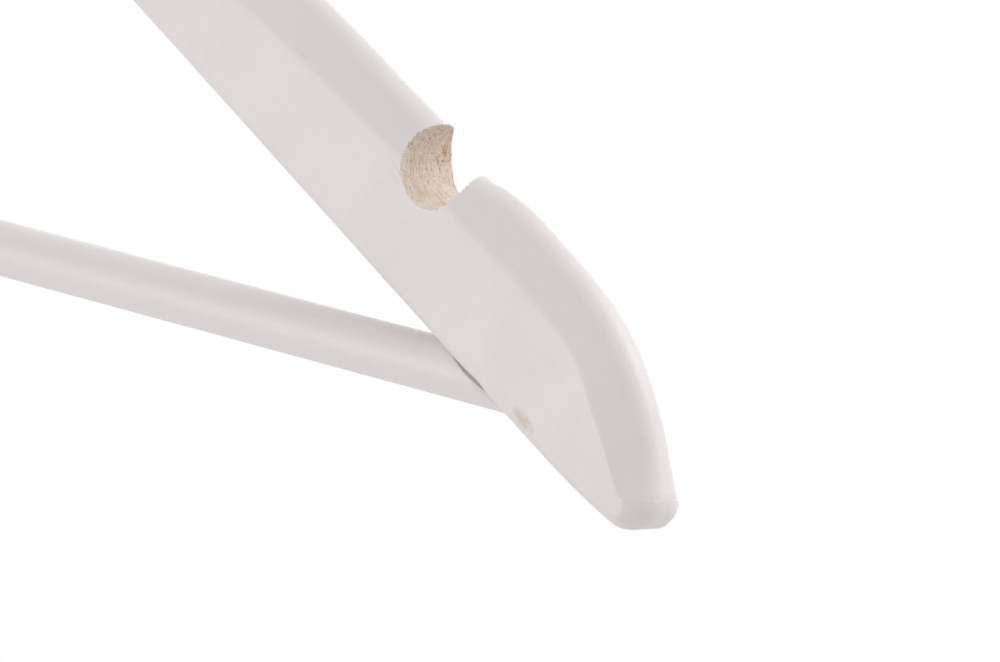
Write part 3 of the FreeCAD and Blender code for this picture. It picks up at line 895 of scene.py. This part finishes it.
def effect_hair_scratch():
    """One fine scratch between two places given in millimetres."""
    takes = [("From", "Vector", (0, 0, 0)), ("To", "Vector", (1, 0, 0)), ("Width", "Float", 0.05)]
    tree, takes, gives = new_effect("hair_scratch", takes, [("Mask", "Float")])
    place = folded_place(tree)[0]
    reach = add(tree, "VectorMath", {0: takes["To"], 1: takes["From"]}, operation="SUBTRACT").outputs[0]
    here = add(tree, "VectorMath", {0: place, 1: takes["From"]}, operation="SUBTRACT").outputs[0]
    along = add(tree, "VectorMath", {0: here, 1: reach}, operation="DOT_PRODUCT").outputs["Value"]
    whole = add(tree, "VectorMath", {0: reach, 1: reach}, operation="DOT_PRODUCT").outputs["Value"]
    part = divided(tree, along, whole, clamp=True)
    foot = add(tree, "VectorMath", {0: reach, "Scale": part}, operation="SCALE").outputs[0]
    off = add(tree, "VectorMath", {0: here, 1: foot}, operation="SUBTRACT").outputs[0]
    away = add(tree, "VectorMath", {0: off}, operation="LENGTH").outputs["Value"]
    broken = between(tree, clouds(tree, place, 2.6, 2.0), 0.38, 0.52)
    line = between(tree, divided(tree, away, takes["Width"]), 0.3, 1.2, 0.34, 0.0)
    tree.links.new(times(tree, line, broken), gives["Mask"])
    return tree


def effect_grain():
    """Wood grain that shows faintly through the lacquer, or plainly where the wood is bare."""
    takes = [
        ("Slope", "Float", 0.0), ("Pitch", "Float", 1.2),
        ("Stretch", "Float", 30.0), ("Depth", "Float", 0.01)]
    tree, takes, gives = new_effect("wood_grain", takes, [("Height", "Float"), ("Lines", "Float")])
    _, across, thick, high = folded_place(tree)
    slope = math_of(tree, "RADIANS", takes["Slope"])
    cos, sin = math_of(tree, "COSINE", slope), math_of(tree, "SINE", slope)
    along = minus(tree, times(tree, across, cos), times(tree, high, sin))
    over = plus(tree, times(tree, across, sin), times(tree, high, cos))
    squeezed = divided(tree, along, takes["Stretch"])
    place = add(tree, "CombineXYZ", {0: squeezed, 1: thick, 2: over}).outputs[0]
    lines = clouds(tree, place, divided(tree, 1.0, takes["Pitch"]), 4.0, 0.6, 0.25)
    fine = clouds(tree, place, divided(tree, 3.5, takes["Pitch"]), 2.0, 0.5)
    both = plus(tree, times(tree, lines, 0.7), times(tree, fine, 0.3))
    tree.links.new(between(tree, both, 0.34, 0.66), gives["Lines"])
    tree.links.new(times(tree, both, takes["Depth"]), gives["Height"])
    return tree


def effect_dust():
    """Scattered specks, a few of them large enough to see."""
    takes = [("Spacing", "Float", 3.0), ("Speck", "Float", 0.10), ("Share", "Float", 0.3)]
    tree, takes, gives = new_effect("dust_specks", takes, [("Mask", "Float")])
    place = folded_place(tree)[0]
    cells = add(tree, "TexVoronoi", {"Vector": place, "Scale": divided(tree, 1.0, takes["Spacing"])})
    reach = times(tree, cells.outputs["Distance"], takes["Spacing"])
    colour = add(tree, "SeparateColor", {0: cells.outputs["Color"]}).outputs
    size = times(tree, takes["Speck"], plus(tree, colour[1], 0.35))
    inside = minus(tree, 1.0, divided(tree, reach, size), clamp=True)
    chosen = math_of(tree, "LESS_THAN", colour[0], takes["Share"])
    tree.links.new(times(tree, inside, chosen), gives["Mask"])
    return tree


def effect_rubbed_spot():
    """An uneven worn patch, drawn out along the arm's inside edge and strongest at its centre."""
    takes = [
        ("Centre", "Vector", (0, 0, 0)), ("Reach", "Float", 2.0),
        ("Slope", "Float", 0.0), ("Draw", "Float", 2.0)]
    tree, takes, gives = new_effect("rubbed_spot", takes, [("Mask", "Float"), ("Mottle", "Float")])
    place, across, thick, high = folded_place(tree)
    folded = add(tree, "CombineXYZ", {0: across, 1: thick, 2: high}).outputs[0]
    from_centre = add(tree, "VectorMath", {0: folded, 1: takes["Centre"]}, operation="SUBTRACT").outputs[0]
    slope = math_of(tree, "RADIANS", takes["Slope"])
    turned = add(tree, "VectorRotate", {"Vector": from_centre, "Angle": times(tree, slope, -1.0)},
                 rotation_type="Y_AXIS").outputs[0]
    parts = add(tree, "SeparateXYZ", {0: turned}).outputs
    drawn = divided(tree, parts[0], takes["Draw"])
    squeezed = add(tree, "CombineXYZ", {0: drawn, 1: parts[1], 2: parts[2]}).outputs[0]
    away = add(tree, "VectorMath", {0: squeezed}, operation="LENGTH").outputs["Value"]
    broken = clouds(tree, place, 0.95, 4.0, 0.6)
    fine = clouds(tree, place, 3.4, 4.0, 0.7)
    edge = plus(tree, divided(tree, away, takes["Reach"]),
                times(tree, minus(tree, broken, 0.5), 1.9))
    mask = between(tree, edge, 0.35, 1.15, 1.0, 0.0)
    tree.links.new(mask, gives["Mask"])
    tree.links.new(between(tree, fine, 0.38, 0.62), gives["Mottle"])
    return tree


def effect_socket_shade():
    """Masks on the dowel at the arm's socket: bare wood in painted shade at the cracked mouth, and grime with
    painted shade where it enters.
    """
    takes = [("Edge At Centre", "Float", INNER_EDGE_Z), ("Slope", "Float", GRAIN_SLOPE)]
    tree, takes, gives = new_effect("socket_shade", takes, [("Bare And Shaded", "Float"), ("Grime And Shade", "Float")])
    place, across, _, high = folded_place(tree)
    slope = math_of(tree, "RADIANS", takes["Slope"])
    rise = times(tree, minus(tree, high, takes["Edge At Centre"]),
                 math_of(tree, "COSINE", slope))
    inside = plus(tree, rise, times(tree, across, math_of(tree, "SINE", slope)))
    uneven = times(tree, minus(tree, clouds(tree, place, 1.1, 4.0, 0.6), 0.5), 0.4)
    inside = plus(tree, inside, uneven)
    level = minus(tree, high, BAR_Z / MM)
    cracked = plus(tree, inside, between(tree, level, -2.6, 0.8, -0.33, 0.33))
    open_part = between(tree, level, 4.7, 3.0)
    tree.links.new(times(tree, between(tree, cracked, 0.02, 0.26), open_part), gives["Bare And Shaded"])
    tree.links.new(between(tree, inside, -1.3, 0.3, 0.0, 0.30), gives["Grime And Shade"])
    return tree


def effect_notch_place():
    """Places on the notch's wall: distance round it, across it and away from its rim line, in mm."""
    takes = [("Notch X", "Float", NOTCH_X / MM), ("Notch Z", "Float", NOTCH_Z / MM)]
    gives = [("Wrapped", "Vector"), ("Away", "Float"), ("High", "Float")]
    tree, takes, gives = new_effect("notch_place", takes, gives)
    _, across, thick, high = folded_place(tree)
    x = minus(tree, across, takes["Notch X"])
    z = minus(tree, high, takes["Notch Z"])
    away = math_of(tree, "SQRT", plus(tree, times(tree, x, x), times(tree, z, z)))
    turn = times(tree, math_of(tree, "ARCTAN2", z, x), NOTCH_RAD / MM)
    tree.links.new(add(tree, "CombineXYZ", {0: turn, 1: thick, 2: away}).outputs[0], gives["Wrapped"])
    tree.links.new(away, gives["Away"])
    tree.links.new(z, gives["High"])
    return tree


def new_finish(name, viewport):
    material = bpy.data.materials.new(name)
    material.use_nodes = True
    material.diffuse_color = viewport
    tree = material.node_tree
    tree.nodes.clear()
    out = tree.nodes.new("ShaderNodeOutputMaterial")
    skin = tree.nodes.new("ShaderNodeBsdfPrincipled")
    tree.links.new(skin.outputs[0], out.inputs[0])
    return material, tree, skin


def raise_surface(tree, skin, height, strength, distance=MM):
    bump = add(tree, "Bump", {"Height": height, "Strength": strength, "Distance": distance})
    tree.links.new(bump.outputs[0], skin.inputs["Normal"])


LACQUER = (0.790, 0.738, 0.738, 1.0)
LACQUER_WARM = (0.776, 0.722, 0.714, 1.0)
LACQUER_PALE = (0.815, 0.772, 0.774, 1.0)
LACQUER_DULL = (0.62, 0.575, 0.565, 1.0)
HAIR_SCRATCHES = (                         # the two ends of each, on the front face beside the notch, in mm
    {"From": (155.0, -6.0, -175.3), "To": (157.0, -6.0, -176.6), "Width": 0.10},
    {"From": (155.1, -6.0, -177.3), "To": (157.1, -6.0, -178.4), "Width": 0.10})
DUST = (0.42, 0.36, 0.32, 1.0)
# Dowel colours at the arm's socket: grime with painted shade where it enters, and bare wood in painted shade
# at the cracked mouth.
SOCKET_GRIME_AND_SHADE = (0.45, 0.40, 0.37, 1.0)
SOCKET_BARE_AND_SHADED = (0.36, 0.30, 0.27, 1.0)
RUBBED = (0.74, 0.655, 0.575, 1.0)
RUBBED_DARK = (0.56, 0.49, 0.43, 1.0)
WORN_PATCH = {"Reach": 1.30, "Slope": GRAIN_SLOPE, "Draw": 2.5}
WORN_OFF = (-0.1 * MM, -0.95 * MM)


def arm_lacquer(effects):
    material, tree, skin = new_finish("arm_lacquer", LACQUER)
    sprayed = use_effect(tree, effects["skin"], {"Ripple Size": 0.42, "Ripple": 0.044, "Drift Size": 16.0})
    grain_shape = {"Slope": GRAIN_SLOPE, "Pitch": 1.3, "Stretch": 34.0, "Depth": 0.024}
    grain = use_effect(tree, effects["grain"], grain_shape)
    specks = use_effect(tree, effects["dust"], {"Spacing": 5.0, "Speck": 0.20, "Share": 0.22})
    fine_specks = use_effect(tree, effects["dust"], {"Spacing": 1.5, "Speck": 0.13, "Share": 0.34})
    centre = ((PUTTY_X + WORN_OFF[0]) / MM, -HALF_THICK / MM, (PUTTY_Z + WORN_OFF[1]) / MM)
    worn = use_effect(tree, effects["spot"], dict(WORN_PATCH, Centre=centre))
    rim = use_effect(tree, effects["notch"])
    tone = blend_colours(tree, sprayed["Drift"], LACQUER, LACQUER_WARM)
    thin = times(tree, grain["Lines"], 0.22)
    tone = blend_colours(tree, thin, tone, LACQUER_PALE)
    tone = blend_colours(tree, sprayed["Peel"], tone, LACQUER_DULL)
    hair_masks = [use_effect(tree, effects["scratch"], ends)["Mask"] for ends in HAIR_SCRATCHES]
    scratch_mask = math_of(tree, "MAXIMUM", *hair_masks)
    tone = blend_colours(tree, scratch_mask, tone, DUST)
    torn_rim = clouds(tree, rim["Wrapped"], 1.3, 4.0, 0.6)
    near = minus(tree, rim["Away"], times(tree, torn_rim, 1.1))
    chalky = between(tree, near, NOTCH_RAD / MM - 0.55, NOTCH_RAD / MM + 0.15, 0.38, 0.0)
    tone = blend_colours(tree, chalky, tone, (0.83, 0.79, 0.77, 1.0))
    worn_tone = blend_colours(tree, worn["Mottle"], RUBBED_DARK, RUBBED)
    tone = blend_colours(tree, times(tree, worn["Mask"], 0.66), tone, worn_tone)
    dusty = plus(tree, specks["Mask"], times(tree, fine_specks["Mask"], 0.32), clamp=True)
    tone = blend_colours(tree, times(tree, dusty, 0.55), tone, DUST)
    tree.links.new(tone, skin.inputs["Base Color"])
    gloss = between(tree, sprayed["Drift"], 0.0, 1.0, 0.36, 0.46)
    gloss = plus(tree, gloss, times(tree, worn["Mask"], 0.25), clamp=True)
    tree.links.new(gloss, skin.inputs["Roughness"])
    height = plus(tree, sprayed["Height"], grain["Height"])
    height = minus(tree, height, times(tree, worn["Mask"], 0.02))
    height = plus(tree, height, times(tree, dusty, 0.03))
    raise_surface(tree, skin, height, 0.9)
    return material


def bar_lacquer(effects):
    material, tree, skin = new_finish("bar_lacquer", LACQUER)
    sprayed = use_effect(tree, effects["skin"], {"Ripple Size": 0.75, "Ripple": 0.040, "Drift Size": 14.0})
    grain = use_effect(tree, effects["grain"], {"Slope": 0.0, "Pitch": 0.9, "Stretch": 45.0, "Depth": 0.030})
    specks = use_effect(tree, effects["dust"], {"Spacing": 4.6, "Speck": 0.14, "Share": 0.25})
    socket = use_effect(tree, effects["socket"])
    tone = blend_colours(tree, sprayed["Drift"], LACQUER, LACQUER_WARM)
    tone = blend_colours(tree, times(tree, grain["Lines"], 0.25), tone, LACQUER_PALE)
    tone = blend_colours(tree, sprayed["Peel"], tone, LACQUER_DULL)
    tone = blend_colours(tree, times(tree, specks["Mask"], 0.5), tone, DUST)
    # Painted shade on the dowel at the arm's socket: grime with shade where it enters, bare wood in shade at
    # the cracked mouth.
    tone = blend_colours(tree, socket["Grime And Shade"], tone, SOCKET_GRIME_AND_SHADE)
    tone = blend_colours(tree, socket["Bare And Shaded"], tone, SOCKET_BARE_AND_SHADED)
    tree.links.new(tone, skin.inputs["Base Color"])
    tree.links.new(between(tree, grain["Lines"], 0.0, 1.0, 0.44, 0.36), skin.inputs["Roughness"])
    height = plus(tree, sprayed["Height"], grain["Height"])
    raise_surface(tree, skin, height, 0.9)
    return material


WOOD_PALE = (0.87, 0.765, 0.675, 1.0)
WOOD_MID = (0.745, 0.625, 0.525, 1.0)
WOOD_DARK = (0.50, 0.36, 0.25, 1.0)
WOOD_STAIN = (0.60, 0.38, 0.21, 1.0)
PAINT_POWDER = (0.80, 0.745, 0.70, 1.0)


def notch_wood(effects):
    """Bare wood left by the notch cutter: a few stains, with painted highlight on crests and painted shade in
    valleys.
    """
    material, tree, skin = new_finish("notch_wood", WOOD_MID)
    notch = use_effect(tree, effects["notch"])
    place = notch["Wrapped"]
    deep = minus(tree, notch["Away"], NOTCH_RAD / MM)
    drawn = add(tree, "VectorMath", {0: place, 1: (0.35, 1.2, 1.0)}, operation="MULTIPLY").outputs[0]
    streaks = clouds(tree, drawn, 1.5, 5.0, 0.62, 0.4)
    fine = clouds(tree, drawn, 6.5, 4.0, 0.65)
    pores = clouds(tree, place, 4.2, 4.0, 0.7)
    tone = blend_colours(tree, between(tree, streaks, 0.36, 0.64), WOOD_MID, WOOD_PALE)
    tone = blend_colours(tree, between(tree, fine, 0.52, 0.74, 0.0, 0.40), tone, WOOD_DARK)
    tone = blend_colours(tree, between(tree, pores, 0.58, 0.72, 0.0, 0.55), tone, WOOD_DARK)
    # Painted shade in the torn wall's hollows and painted highlight where its fibres stand out.
    tone = blend_colours(tree, between(tree, deep, 0.05, 0.27, 0.0, 0.80), tone, WOOD_DARK)
    tone = blend_colours(tree, between(tree, deep, -0.02, -0.16, 0.0, 0.55), tone, WOOD_PALE)
    stain_place = add(tree, "VectorMath", {0: place, 1: (0.22, 0.50, 0.3)}, operation="MULTIPLY").outputs[0]
    stains = clouds(tree, stain_place, 1.2, 4.0, 0.65, 0.3)
    tone = blend_colours(tree, between(tree, stains, 0.545, 0.68, 0.0, 0.58), tone, WOOD_STAIN)
    paint_dust = clouds(tree, place, 2.0, 5.0, 0.75)
    edge = math_of(tree, "ABSOLUTE", add(tree, "SeparateXYZ", {0: place}).outputs[1])
    powder = times(tree, between(tree, paint_dust, 0.50, 0.62), between(tree, edge, 4.4, 6.0))
    low_side = between(tree, plus(tree, notch["High"], times(tree, paint_dust, 2.0)), -1.6, -6.4)
    mist = times(tree, low_side, between(tree, edge, 1.0, 6.0, 0.35, 1.0))
    powder = math_of(tree, "MAXIMUM", powder, mist)
    tone = blend_colours(tree, times(tree, powder, 0.62), tone, PAINT_POWDER)
    tree.links.new(tone, skin.inputs["Base Color"])
    skin.inputs["Roughness"].default_value = 0.85
    skin.inputs["Specular IOR Level"].default_value = 0.25
    height = plus(tree, times(tree, fine, 0.14), times(tree, pores, 0.12))
    raise_surface(tree, skin, height, 1.0)
    return material


def putty_finish(effects):
    """Thin lacquer worn down to the putty under it."""
    material, tree, skin = new_finish("worn_putty", RUBBED)
    centre = ((PUTTY_X + WORN_OFF[0]) / MM, -HALF_THICK / MM, (PUTTY_Z + WORN_OFF[1]) / MM)
    worn = use_effect(tree, effects["spot"], dict(WORN_PATCH, Centre=centre))
    sprayed = use_effect(tree, effects["skin"], {"Ripple Size": 1.1, "Ripple": 0.030, "Drift Size": 16.0})
    tone = blend_colours(tree, sprayed["Drift"], LACQUER, LACQUER_WARM)
    worn_tone = blend_colours(tree, worn["Mottle"], RUBBED_DARK, RUBBED)
    tone = blend_colours(tree, times(tree, worn["Mask"], 0.66), tone, worn_tone)
    tree.links.new(tone, skin.inputs["Base Color"])
    tree.links.new(between(tree, worn["Mask"], 0.0, 1.0, 0.40, 0.66), skin.inputs["Roughness"])
    height = minus(tree, sprayed["Height"], times(tree, worn["Mask"], 0.02))
    raise_surface(tree, skin, height, 0.9)
    return material


def steel_finish(name, colour, rough, effects):
    """Bright plating with a faint ripple, a slow tone drift and a few dull specks."""
    material, tree, skin = new_finish(name, colour)
    sprayed = use_effect(tree, effects["skin"], {"Ripple Size": 2.4, "Ripple": 0.006, "Drift Size": 9.0})
    specks = use_effect(tree, effects["dust"], {"Spacing": 2.4, "Speck": 0.10, "Share": 0.25})
    darker = tuple(0.82 * part for part in colour[:3]) + (1.0,)
    tone = blend_colours(tree, times(tree, sprayed["Drift"], 0.5), colour, darker)
    tone = blend_colours(tree, times(tree, specks["Mask"], 0.6), tone, (0.30, 0.27, 0.24, 1.0))
    tree.links.new(tone, skin.inputs["Base Color"])
    skin.inputs["Metallic"].default_value = 1.0
    gloss = between(tree, sprayed["Drift"], 0.0, 1.0, rough, rough + 0.12)
    gloss = plus(tree, gloss, times(tree, specks["Mask"], 0.3), clamp=True)
    tree.links.new(gloss, skin.inputs["Roughness"])
    height = plus(tree, sprayed["Height"], times(tree, specks["Mask"], -0.01))
    raise_surface(tree, skin, height, 0.8)
    return material


FLOOR_DARK = (0.68, 0.68, 0.68, 1)
FLOOR_LIGHT = (0.72, 0.72, 0.72, 1)


def floor_finish():
    material, tree, skin = new_finish("pale_floor", (0.70, 0.70, 0.70, 1.0))
    place = add(tree, "TexCoord").outputs["Object"]
    drift = clouds(tree, place, 1.5, 2.0)
    tone = blend_colours(tree, drift, FLOOR_DARK, FLOOR_LIGHT)
    tree.links.new(tone, skin.inputs["Base Color"])
    skin.inputs["Roughness"].default_value = 0.9
    return material


def make_floor():
    half, level = 0.62, CAD_BOX[0][2] - 0.30
    corners = [(-half, -half, level), (half, -half, level), (half, half, level), (-half, half, level)]
    mesh = bpy.data.meshes.new("studio_floor")
    mesh.from_pydata(corners, [], [(0, 1, 2, 3)])
    floor = place_object("studio_floor", mesh)
    give_materials(floor, (floor_finish(),))


# ---------------------------------------------------------------- assembly

set_camera()
set_light()
make_floor()

EFFECTS = {
    "skin": effect_sprayed_skin(),
    "grain": effect_grain(),
    "dust": effect_dust(),
    "spot": effect_rubbed_spot(),
    "notch": effect_notch_place(),
    "scratch": effect_hair_scratch(),
    "socket": effect_socket_shade()}
ARM_LACQUER = arm_lacquer(EFFECTS)
BARE_WOOD = notch_wood(EFFECTS)
PUTTY = putty_finish(EFFECTS)
PLATED_WIRE = steel_finish("plated_wire", (0.78, 0.78, 0.79, 1.0), 0.16, EFFECTS)
PLATED_SLEEVE = steel_finish("plated_sleeve", (0.72, 0.72, 0.73, 1.0), 0.22, EFFECTS)
BRAD_STEEL = steel_finish("brad_steel", (0.52, 0.52, 0.53, 1.0), 0.35, EFFECTS)

BLANK = make_blank("arms_blank")
for side_name, side_sign in (("right", 1.0), ("left", -1.0)):
    make_arm(side_name, side_sign, BLANK, ARM_LACQUER, BARE_WOOD)
    make_putty(side_name, side_sign, PUTTY)
    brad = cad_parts[side_name + "_bar_pin"]
    give_materials(brad, (BRAD_STEEL,))
bpy.data.meshes.remove(BLANK)
make_bar(bar_lacquer(EFFECTS))
make_hook(PLATED_WIRE)
make_washer(PLATED_WIRE)
make_sleeve(PLATED_SLEEVE)
